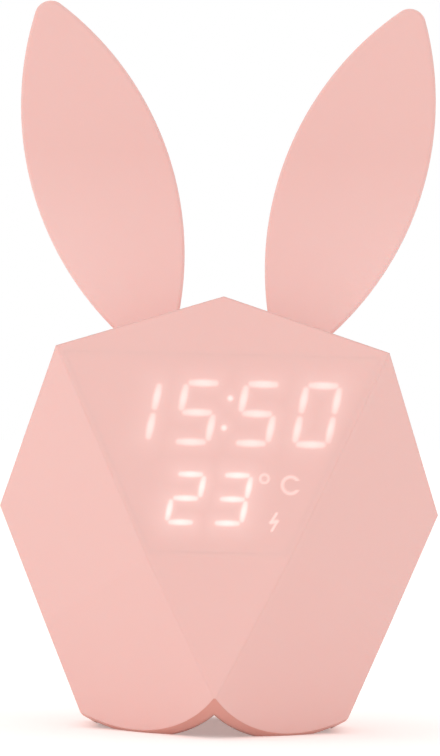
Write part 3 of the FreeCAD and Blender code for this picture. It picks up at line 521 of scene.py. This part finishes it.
def sign_glow(across, up):
    """Degree ring, letter C and charging arrow, dimmer than the digits."""
    ring = np.abs(np.hypot(across - RING_PLACE[0] * MM, up - RING_PLACE[1] * MM) - RING_RADIUS * MM)
    level = RING_LEVEL * soft_edge(ring, RING_STROKE * MM)
    right, rise = across - LETTER_PLACE[0] * MM, up - LETTER_PLACE[1] * MM
    letter = np.abs(np.hypot(right, rise) - LETTER_RADIUS * MM)
    open_side = (right > LETTER_OPENING[0] * MM) & (np.abs(rise) < LETTER_OPENING[1] * MM)
    stroke = LETTER_LEVEL * soft_edge(letter, LETTER_STROKE * MM)
    level = np.maximum(level, np.where(open_side, 0, stroke))
    for first, last, width in BOLT_LINES:
        start, stop = (np.array([BOLT_PLACE[0] * MM + x * MM, BOLT_PLACE[1] * MM + z * MM])
                       for x, z in (first, last))
        away, _ = line_distance(across, up, start, stop)
        level = np.maximum(level, BOLT_LEVEL * soft_edge(away, width * MM))
    return level


def face_corners():
    """Height and half width of the lower and of the upper corners of the front face."""
    corners = [point.co for point in NODES["front_shell"].data.vertices if point.co.y < FACE + FACE_NEAR]
    right = [(point.z, point.x) for point in corners if point.x > FACE_SIDE]
    return min(right), max(right, key=lambda pair: pair[1])


def glow_panel(settings):
    """Fine grid on the front face that carries the light level at each point."""
    (low_height, low_half), (high_height, high_half) = face_corners()
    low_z = max(settings.degree_place[1] - settings.degree_height / 2 - PANEL_MARGIN,
                low_height + EDGE_MARGIN)
    high_z = min(settings.time_place[1] + settings.time_height / 2 + PANEL_MARGIN,
                 high_height - EDGE_MARGIN)
    xs = np.arange(-high_half, high_half, settings.grid)
    zs = np.arange(low_z, high_z, settings.grid)
    across, up = np.meshgrid(xs, zs)
    half = low_half + (up - low_height) / (high_height - low_height) * (high_half - low_half) - EDGE_MARGIN
    edge = np.minimum.reduce([half - np.abs(across), up - zs[0], zs[-1] - up])
    glow = display_glow(across, up, settings) * np.clip(edge / EDGE_FADE, 0, 1)
    points = np.stack([across, np.full_like(across, FACE - PANEL_GAP), up], axis=-1).reshape(-1, 3)
    columns, rows = len(xs), len(zs)
    first = (np.arange(rows - 1)[:, None] * columns + np.arange(columns - 1)[None, :]).ravel()
    faces = np.stack([first, first + 1, first + columns + 1, first + columns], axis=1)
    keep = (edge >= 0).ravel()[faces].all(axis=1)
    mesh = bpy.data.meshes.new("display_glow")
    mesh.from_pydata(points.tolist(), [], faces[keep].tolist())
    level = mesh.attributes.new("glow", "FLOAT", "POINT")
    level.data.foreach_set("value", glow.ravel().astype(np.float32))
    tidy = bmesh.new()
    tidy.from_mesh(mesh)
    loose = [point for point in tidy.verts if not point.link_faces]
    bmesh.ops.delete(tidy, geom=loose, context="VERTS")
    tidy.to_mesh(mesh)
    tidy.free()
    return mesh


class CLOCK_OT_display(bpy.types.Operator):
    """Makes the light of the hidden digits as it shows through the front face"""
    bl_idname = "clock.display"
    bl_label = "Light the Display"

    def execute(self, context):
        mesh = glow_panel(context.scene.clock_display)
        new_piece("display_glow", mesh, "root", shell_finish("face_lit_pink", glow=True))
        film = simple_finish("film_frosted", colour=(0.85, 0.83, 0.80), roughness=0.6, grain=2500.0)
        mask = simple_finish("mask_reflector_white", colour=(0.86, 0.86, 0.85), roughness=0.45)
        lamp = simple_finish("lamp_resin", colour=(0.92, 0.90, 0.74), roughness=0.18, coat=0.5)
        dress("diffuser_film", film)
        dress("segment_mask", mask)
        dress("segment_lamps", lamp)
        return {"FINISHED"}


# Rear keys with their raised signs


# Sign: how deep it starts in the cap, and its thickness
SIGN_SINK = 0.0001
SIGN_HEIGHT = 0.00012
# Arrows, clock and sun, in millimetres from the middle of the key
ARROWS = {"up_key": [(-1.5, -0.8), (1.5, -0.8), (0, 1.3)],
          "down_key": [(-1.5, 0.8), (0, -1.3), (1.5, 0.8)]}
CLOCK_RING = (1.7, 1.35)
CLOCK_HANDS = [[(-0.16, -0.1), (0.16, -0.1), (0.16, 1.05), (-0.16, 1.05)],
               [(0.16, -0.1), (0.95, -0.1), (0.95, 0.2), (0.16, 0.2)]]
SUN_RADIUS = 0.75
SUN_RAYS = 8
RAY_ENDS = (1.1, 1.75)
RAY_HALF_WIDTH = 0.14
RING_POINTS = 32
SUN_POINTS = 24


def disc_points(radius, count):
    """Points round a circle."""
    return [(radius * math.cos(math.tau * step / count), radius * math.sin(math.tau * step / count))
            for step in range(count)]


def band(outer, inner):
    """Faces between two loops of equal length."""
    count = len(outer)
    return [[outer[step], outer[(step + 1) % count], inner[(step + 1) % count], inner[step]]
            for step in range(count)]


def sign_outlines(kind):
    """Flat polygons of one key sign, in millimetres, as seen from behind the clock."""
    if kind in ARROWS:
        return [ARROWS[kind]]
    if kind == "time_set_key":
        outer, inner = (disc_points(radius, RING_POINTS) for radius in CLOCK_RING)
        return band(outer, inner) + CLOCK_HANDS
    shapes = [disc_points(SUN_RADIUS, SUN_POINTS)]
    near, far = RAY_ENDS
    for step in range(SUN_RAYS):
        angle = math.tau * step / SUN_RAYS
        out = (math.cos(angle), math.sin(angle))
        side = (-math.sin(angle) * RAY_HALF_WIDTH, math.cos(angle) * RAY_HALF_WIDTH)
        shapes.append([(out[0] * reach + side[0] * sign, out[1] * reach + side[1] * sign)
                       for reach, sign in ((near, -1), (far, -1), (far, 1), (near, 1))])
    return shapes


def key_sign(kind):
    """Raised sign on the middle of a key's cap."""
    low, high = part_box(kind)
    middle = (low + high) / 2
    shape = bmesh.new()
    for outline in sign_outlines(kind):
        corners = [shape.verts.new((middle.x - right * MM, high.y - SIGN_SINK, middle.z + up * MM))
                   for right, up in outline]
        shape.faces.new(corners)
    bmesh.ops.remove_doubles(shape, verts=shape.verts, dist=WELD)
    grown = bmesh.ops.extrude_face_region(shape, geom=shape.faces[:])
    moved = [item for item in grown["geom"] if isinstance(item, bmesh.types.BMVert)]
    bmesh.ops.translate(shape, verts=moved, vec=(0, SIGN_HEIGHT, 0))
    bmesh.ops.recalc_face_normals(shape, faces=shape.faces)
    mesh = bpy.data.meshes.new(kind + "_sign")
    shape.to_mesh(mesh)
    shape.free()
    return mesh


class CLOCK_OT_keys(bpy.types.Operator):
    """Gives the keys, their switches and the slide switch their finish, and each key its sign"""
    bl_idname = "clock.keys"
    bl_label = "Dress Keys"

    def execute(self, context):
        settings = context.scene.clock_finish
        cap = simple_finish("key_satin_cream", tuple(settings.key), roughness=0.38, grain=1600.0)
        sign = simple_finish("key_sign_grey", colour=(0.20, 0.17, 0.17), roughness=0.5)
        case = simple_finish("switch_moulded_black", colour=(0.02, 0.02, 0.022), roughness=0.5)
        button = simple_finish("plunger_gloss_black", colour=(0.03, 0.03, 0.03), roughness=0.3)
        for name in ("time_set", "down", "up", "light"):
            dress(name + "_key", cap)
            dress(name + "_switch", case)
            dress(name + "_plunger", button)
            new_piece(name + "_key_sign", key_sign(name + "_key"), name + "_key", sign)
        dress("power_knob", cap)
        dress("power_switch_case", case)
        return {"FINISHED"}


# Screws, made once for each size and set on the seats of the CAD screws


# Screw nodes: head direction as an axis and a sign, and the head height
SCREW_NODES = {
    "shell_screws": (1, 1, 0.0020),
    "bottom_screws": (2, -1, 0.0012),
    "light_board_screws": (2, 1, 0.0012),
    "display_screws": (1, 1, 0.0012),
    "main_board_screws": (1, -1, 0.0012),
    "speaker_screws": (1, -1, 0.0012),
}
# Turn about X that points a screw's head along each direction
HEAD_TURNS = {(1, 1): -math.pi / 2, (1, -1): math.pi / 2, (2, 1): 0.0, (2, -1): math.pi}
# Shank and recess in head radii, recess depth in head heights
SHANK_SHARE = 0.53
RECESS_LENGTH, RECESS_WIDTH = 1.15, 0.26
RECESS_DEPTH = 1.1
# The crown is narrower than the head by its height divided by this
CROWN_SLOPE = 3.0
SCREW_SIDES = 28


def cross_screw_tree():
    """Node tree: a cross-recess screw along -Z, set on every point of its input."""
    tree = bpy.data.node_groups.new("CrossRecessScrews", "GeometryNodeTree")
    face = tree.interface
    face.new_socket("Seats", in_out="INPUT", socket_type="NodeSocketGeometry")
    for name in ("Head Radius", "Head Height", "Shank Radius", "Length", "Turn X"):
        face.new_socket(name, in_out="INPUT", socket_type="NodeSocketFloat")
    face.new_socket("Finish", in_out="INPUT", socket_type="NodeSocketMaterial")
    face.new_socket("Screws", in_out="OUTPUT", socket_type="NodeSocketGeometry")
    entry = tree.nodes.new("NodeGroupInput")
    leave = tree.nodes.new("NodeGroupOutput")

    def filled(item, parts):
        for socket, part in zip(item.inputs, parts):
            if isinstance(part, (int, float)):
                socket.default_value = part
            else:
                tree.links.new(part, socket)
        return item.outputs[0]

    def value(operation, first, second):
        item = tree.nodes.new("ShaderNodeMath")
        item.operation = operation
        return filled(item, (first, second))

    def vector(x=0.0, y=0.0, z=0.0):
        return filled(tree.nodes.new("ShaderNodeCombineXYZ"), (x, y, z))

    def moved(mesh, place):
        item = tree.nodes.new("GeometryNodeTransform")
        tree.links.new(mesh, item.inputs["Geometry"])
        tree.links.new(place, item.inputs["Translation"])
        return item.outputs["Geometry"]

    def drum(top, bottom, depth):
        item = tree.nodes.new("GeometryNodeMeshCone")
        item.inputs["Vertices"].default_value = SCREW_SIDES
        tree.links.new(top, item.inputs["Radius Top"])
        tree.links.new(bottom, item.inputs["Radius Bottom"])
        tree.links.new(depth, item.inputs["Depth"])
        return item.outputs["Mesh"]

    head_radius, head_height = entry.outputs["Head Radius"], entry.outputs["Head Height"]
    shank, length = entry.outputs["Shank Radius"], entry.outputs["Length"]
    crown = value("SUBTRACT", head_radius, value("DIVIDE", head_height, CROWN_SLOPE))
    head = drum(crown, head_radius, head_height)
    body = moved(drum(shank, shank, length), vector(z=value("MULTIPLY", length, -1.0)))
    arm = value("MULTIPLY", head_radius, RECESS_LENGTH)
    thin = value("MULTIPLY", head_radius, RECESS_WIDTH)
    deep = value("MULTIPLY", head_height, RECESS_DEPTH)
    bars = []
    for size_x, size_y in ((arm, thin), (thin, arm)):
        bar = tree.nodes.new("GeometryNodeMeshCube")
        tree.links.new(vector(size_x, size_y, deep), bar.inputs["Size"])
        bars.append(moved(bar.outputs["Mesh"], vector(z=head_height)))
    cut = tree.nodes.new("GeometryNodeMeshBoolean")
    cut.operation = "DIFFERENCE"
    tree.links.new(head, cut.inputs["Mesh 1"])
    for bar in bars:
        tree.links.new(bar, cut.inputs["Mesh 2"])
    both = tree.nodes.new("GeometryNodeJoinGeometry")
    tree.links.new(cut.outputs["Mesh"], both.inputs["Geometry"])
    tree.links.new(body, both.inputs["Geometry"])
    turn = tree.nodes.new("FunctionNodeEulerToRotation")
    tree.links.new(vector(x=entry.outputs["Turn X"]), turn.inputs[0])
    place = tree.nodes.new("GeometryNodeInstanceOnPoints")
    tree.links.new(entry.outputs["Seats"], place.inputs["Points"])
    tree.links.new(both.outputs["Geometry"], place.inputs["Instance"])
    tree.links.new(turn.outputs[0], place.inputs["Rotation"])
    real = tree.nodes.new("GeometryNodeRealizeInstances")
    tree.links.new(place.outputs["Instances"], real.inputs["Geometry"])
    paint = tree.nodes.new("GeometryNodeSetMaterial")
    tree.links.new(real.outputs["Geometry"], paint.inputs["Geometry"])
    tree.links.new(entry.outputs["Finish"], paint.inputs["Material"])
    tree.links.new(paint.outputs["Geometry"], leave.inputs["Screws"])
    return tree


def loose_parts(item):
    """Lowest and highest corner of each separate solid of a node."""
    shape = bmesh.new()
    shape.from_mesh(item.data)
    bmesh.ops.remove_doubles(shape, verts=shape.verts, dist=WELD)
    waiting = set(shape.verts)
    boxes = []
    while waiting:
        front, found = [waiting.pop()], []
        while front:
            point = front.pop()
            found.append(point.co.copy())
            for edge in point.link_edges:
                other = edge.other_vert(point)
                if other in waiting:
                    waiting.remove(other)
                    front.append(other)
        boxes.append((Vector([min(point[axis] for point in found) for axis in range(3)]),
                      Vector([max(point[axis] for point in found) for axis in range(3)])))
    shape.free()
    return sorted(boxes, key=lambda pair: tuple(round(part, 5) for part in pair[0]))


def screw_piece(name, tree, material):
    """Screws with cross recesses on the seats of one CAD screw node."""
    axis, sign, head_height = SCREW_NODES[name]
    boxes = loose_parts(NODES[name])
    seats = []
    for low, high in boxes:
        seat = (low + high) / 2
        seat[axis] = (high[axis] - head_height) if sign > 0 else (low[axis] + head_height)
        seats.append(tuple(seat))
    low, high = boxes[0]
    points = bpy.data.meshes.new(name + "_dressed")
    points.from_pydata(seats, [], [])
    carrier = bpy.data.objects.new(name + "_dressed", points)
    bpy.context.scene.collection.objects.link(carrier)
    modifier = carrier.modifiers.new("Screws", "NODES")
    modifier.node_group = tree
    length = high[axis] - low[axis] - head_height
    head_radius = (high.x - low.x) / 2
    values = {"Head Radius": head_radius, "Head Height": head_height,
              "Shank Radius": head_radius * SHANK_SHARE, "Length": length,
              "Turn X": HEAD_TURNS[(axis, sign)], "Finish": material}
    for socket in tree.interface.items_tree:
        if socket.in_out == "INPUT" and socket.name in values:
            modifier[socket.identifier] = values[socket.name]
    ready = carrier.evaluated_get(bpy.context.evaluated_depsgraph_get())
    mesh = bpy.data.meshes.new_from_object(ready)
    carrier.modifiers.clear()
    carrier.data = mesh
    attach(carrier, "root")
    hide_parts(name)


class CLOCK_OT_screws(bpy.types.Operator):
    """Sets a cross-recess screw on the seat of every CAD screw"""
    bl_idname = "clock.screws"
    bl_label = "Make Screws"

    def execute(self, context):
        tree = cross_screw_tree()
        steel = brushed_finish("screw_zinc", tuple(context.scene.clock_finish.steel), roughness=0.34)
        for name in SCREW_NODES:
            screw_piece(name, tree, steel)
        return {"FINISHED"}


# Boards, battery, lamps, socket and speaker


class CLOCK_OT_electronics(bpy.types.Operator):
    """Gives the boards, the battery, the lamps and the charging socket their finish"""
    bl_idname = "clock.electronics"
    bl_label = "Dress Electronics"

    def execute(self, context):
        board = board_finish("board_solder_mask", tuple(context.scene.clock_finish.board))
        for name in ("main_board", "display_board", "light_board"):
            dress(name, board)
        laminate = simple_finish("battery_laminate", colour=(0.62, 0.64, 0.66), roughness=0.35,
                                 metallic=0.5, grain=600.0, relief=0.00004)
        foam = simple_finish("pad_foam_black", colour=(0.02, 0.02, 0.022), roughness=0.9,
                             grain=1800.0, relief=0.00012)
        resin = simple_finish("night_lamp_resin", colour=(0.92, 0.86, 0.62), roughness=0.2, coat=0.5)
        nickel = brushed_finish("socket_nickel", colour=(0.62, 0.62, 0.64), roughness=0.24)
        tongue = simple_finish("socket_tongue_black", colour=(0.015, 0.015, 0.016), roughness=0.45)
        dress("battery_pack", laminate)
        dress("battery_pad", foam)
        dress("light_lamps", resin)
        dress("socket_sleeve", nickel)
        dress("socket_tongue", tongue)
        return {"FINISHED"}


class CLOCK_OT_speaker(bpy.types.Operator):
    """Gives the speaker behind the sound slots its finish"""
    bl_idname = "clock.speaker"
    bl_label = "Dress Speaker"

    def execute(self, context):
        painted = simple_finish("basket_painted_black", colour=(0.025, 0.025, 0.028), roughness=0.4)
        film = simple_finish("cone_pressed_film", colour=(0.035, 0.034, 0.036), roughness=0.6,
                             grain=2600.0, relief=0.00004)
        foam = simple_finish("gasket_foam", colour=(0.02, 0.02, 0.02), roughness=0.85,
                             grain=2200.0, relief=0.0001)
        nickel = brushed_finish("magnet_nickel", colour=(0.45, 0.45, 0.47), roughness=0.3)
        dress("speaker_basket", painted)
        dress("speaker_clamp", painted)
        dress("speaker_cone", film)
        dress("speaker_gasket", foam)
        dress("speaker_magnet", nickel)
        return {"FINISHED"}


# Stage: floor, sky, lamp and camera


# Floor: distance from its middle to its sides, colour, and tone of its light as other surfaces
# get it and as the camera sees it; the pink tone that the camera sees is painted pink bounce light in the
# floor's shadow
FLOOR_REACH = 12.0
FLOOR_COLOUR = (0.86, 0.855, 0.85, 1.0)
BOUNCE_TONE = (0.44, 0.44, 0.44, 1.0)
SEEN_PINK_BOUNCE = (1.0, 0.82, 0.78, 1.0)
WHITE = (1.0, 1.0, 1.0, 1.0)
# Lamp: place, point that it faces and side
LAMP_PLACE = (-1.4, -0.9, 0.8)
LAMP_AIM = (0, 0, 0.08)
LAMP_SIDE = 1.0
# Camera: width of the photo in pixels, width of the sensor in millimetres, nearest and farthest
# distance that it sees
PHOTO_WIDTH = 440
SENSOR = 36.0
NEAREST, FARTHEST = 0.05, 60.0


def floor_finish(glow):
    """Pale floor, lit a little from below, that reads as white and keeps the shadow, with painted pink
    bounce light in that shadow where the camera sees it.
    """
    material, tree, output = new_material("floor_white")
    matt = node(tree, "ShaderNodeBsdfDiffuse", {"Color": FLOOR_COLOUR})
    lift = node(tree, "ShaderNodeEmission", {"Strength": glow})
    ray = node(tree, "ShaderNodeLightPath")
    tone = node(tree, "ShaderNodeMix", data_type="RGBA")
    # Painted pink bounce light: camera rays see a pink glow that shows only in the floor's shadow
    tone.inputs[6].default_value = BOUNCE_TONE
    tone.inputs[7].default_value = SEEN_PINK_BOUNCE
    both = node(tree, "ShaderNodeAddShader")
    link(tree, seen_rays(tree, ray), tone.inputs[0])
    link(tree, tone.outputs[2], lift.inputs["Color"])
    link(tree, matt.outputs["BSDF"], both.inputs[0])
    link(tree, lift.outputs["Emission"], both.inputs[1])
    link(tree, both.outputs["Shader"], output.inputs["Surface"])
    return material


def seen_rays(tree, ray):
    """One for camera, glossy and transmission rays."""
    first = node(tree, "ShaderNodeMath", operation="MAXIMUM")
    second = node(tree, "ShaderNodeMath", operation="MAXIMUM")
    link(tree, ray.outputs["Is Camera Ray"], first.inputs[0])
    link(tree, ray.outputs["Is Glossy Ray"], first.inputs[1])
    link(tree, first.outputs["Value"], second.inputs[0])
    link(tree, ray.outputs["Is Transmission Ray"], second.inputs[1])
    return second.outputs["Value"]


def white_world(sky):
    """Even sky light, seen as plain white."""
    world = bpy.data.worlds.new("clock_world")
    world.use_nodes = True
    tree = world.node_tree
    tree.nodes.clear()
    output = tree.nodes.new("ShaderNodeOutputWorld")
    ray = node(tree, "ShaderNodeLightPath")
    light = node(tree, "ShaderNodeBackground", {"Color": WHITE, "Strength": sky})
    seen = node(tree, "ShaderNodeBackground", {"Color": WHITE, "Strength": 1.0})
    choice = node(tree, "ShaderNodeMixShader")
    link(tree, seen_rays(tree, ray), choice.inputs[0])
    link(tree, light.outputs["Background"], choice.inputs[1])
    link(tree, seen.outputs["Background"], choice.inputs[2])
    link(tree, choice.outputs["Shader"], output.inputs["Surface"])
    bpy.context.scene.world = world


def soft_lamp(name, place, aim, size, power):
    """Square soft lamp that faces a point."""
    lamp = bpy.data.lights.new(name, "AREA")
    lamp.shape = "SQUARE"
    lamp.size = size
    lamp.energy = power
    item = bpy.data.objects.new(name, lamp)
    bpy.context.scene.collection.objects.link(item)
    item.location = place
    item.rotation_euler = (Vector(aim) - Vector(place)).to_track_quat("-Z", "Y").to_euler()


def photo_camera(settings):
    """Camera of the photograph, almost level, with its slight roll."""
    data = bpy.data.cameras.new("photo_camera")
    data.sensor_fit = "HORIZONTAL"
    data.sensor_width = SENSOR
    data.lens = settings.focal_pixels / PHOTO_WIDTH * SENSOR
    data.clip_start, data.clip_end = NEAREST, FARTHEST
    item = bpy.data.objects.new("photo_camera", data)
    bpy.context.scene.collection.objects.link(item)
    place = Vector((0.0, -settings.distance, settings.height))
    aim = Vector((settings.aim_across, 0.0, settings.aim_height))
    turn = (aim - place).to_track_quat("-Z", "Y").to_matrix() @ Matrix.Rotation(settings.roll, 3, "Z")
    item.matrix_world = Matrix.Translation(place) @ turn.to_4x4()
    bpy.context.scene.camera = item


class CLOCK_OT_stage(bpy.types.Operator):
    """Makes the floor, the sky, the lamp and the camera"""
    bl_idname = "clock.stage"
    bl_label = "Make Stage"

    def execute(self, context):
        settings = context.scene.clock_stage
        mesh = bpy.data.meshes.new("stage_floor")
        corners = [(across * FLOOR_REACH, deep * FLOOR_REACH, 0)
                   for across, deep in ((-1, -1), (1, -1), (1, 1), (-1, 1))]
        mesh.from_pydata(corners, [], [(0, 1, 2, 3)])
        mesh.materials.append(floor_finish(settings.floor_glow))
        floor = bpy.data.objects.new("stage_floor", mesh)
        context.scene.collection.objects.link(floor)
        white_world(settings.sky)
        soft_lamp("key_lamp", LAMP_PLACE, LAMP_AIM, LAMP_SIDE, settings.key_light)
        photo_camera(settings)
        context.scene.view_settings.view_transform = "Standard"
        return {"FINISHED"}


class CLOCK_PT_panel(bpy.types.Panel):
    """Lists the steps that dress the clock"""
    bl_idname = "CLOCK_PT_panel"
    bl_label = "Alarm Clock"
    bl_space_type = "VIEW_3D"
    bl_region_type = "UI"
    bl_category = "Alarm Clock"

    def draw(self, context):
        for operator in OPERATORS:
            self.layout.operator(operator.bl_idname)


OPERATORS = (CLOCK_OT_shells, CLOCK_OT_display, CLOCK_OT_keys, CLOCK_OT_screws, CLOCK_OT_electronics,
             CLOCK_OT_speaker, CLOCK_OT_stage)
GROUPS = {"clock_finish": ClockFinish, "clock_display": ClockDisplay, "clock_stage": ClockStage}


def register():
    for group in GROUPS.values():
        bpy.utils.register_class(group)
    for name, group in GROUPS.items():
        setattr(bpy.types.Scene, name, PointerProperty(type=group))
    for item in OPERATORS + (CLOCK_PT_panel,):
        bpy.utils.register_class(item)


def unregister():
    for item in reversed(OPERATORS + (CLOCK_PT_panel,)):
        bpy.utils.unregister_class(item)
    for name, group in GROUPS.items():
        delattr(bpy.types.Scene, name)
        bpy.utils.unregister_class(group)


def main():
    register()
    bpy.ops.clock.shells()
    bpy.ops.clock.display()
    bpy.ops.clock.keys()
    bpy.ops.clock.screws()
    bpy.ops.clock.electronics()
    bpy.ops.clock.speaker()
    bpy.ops.clock.stage()


if __name__ == "__main__":
    main()
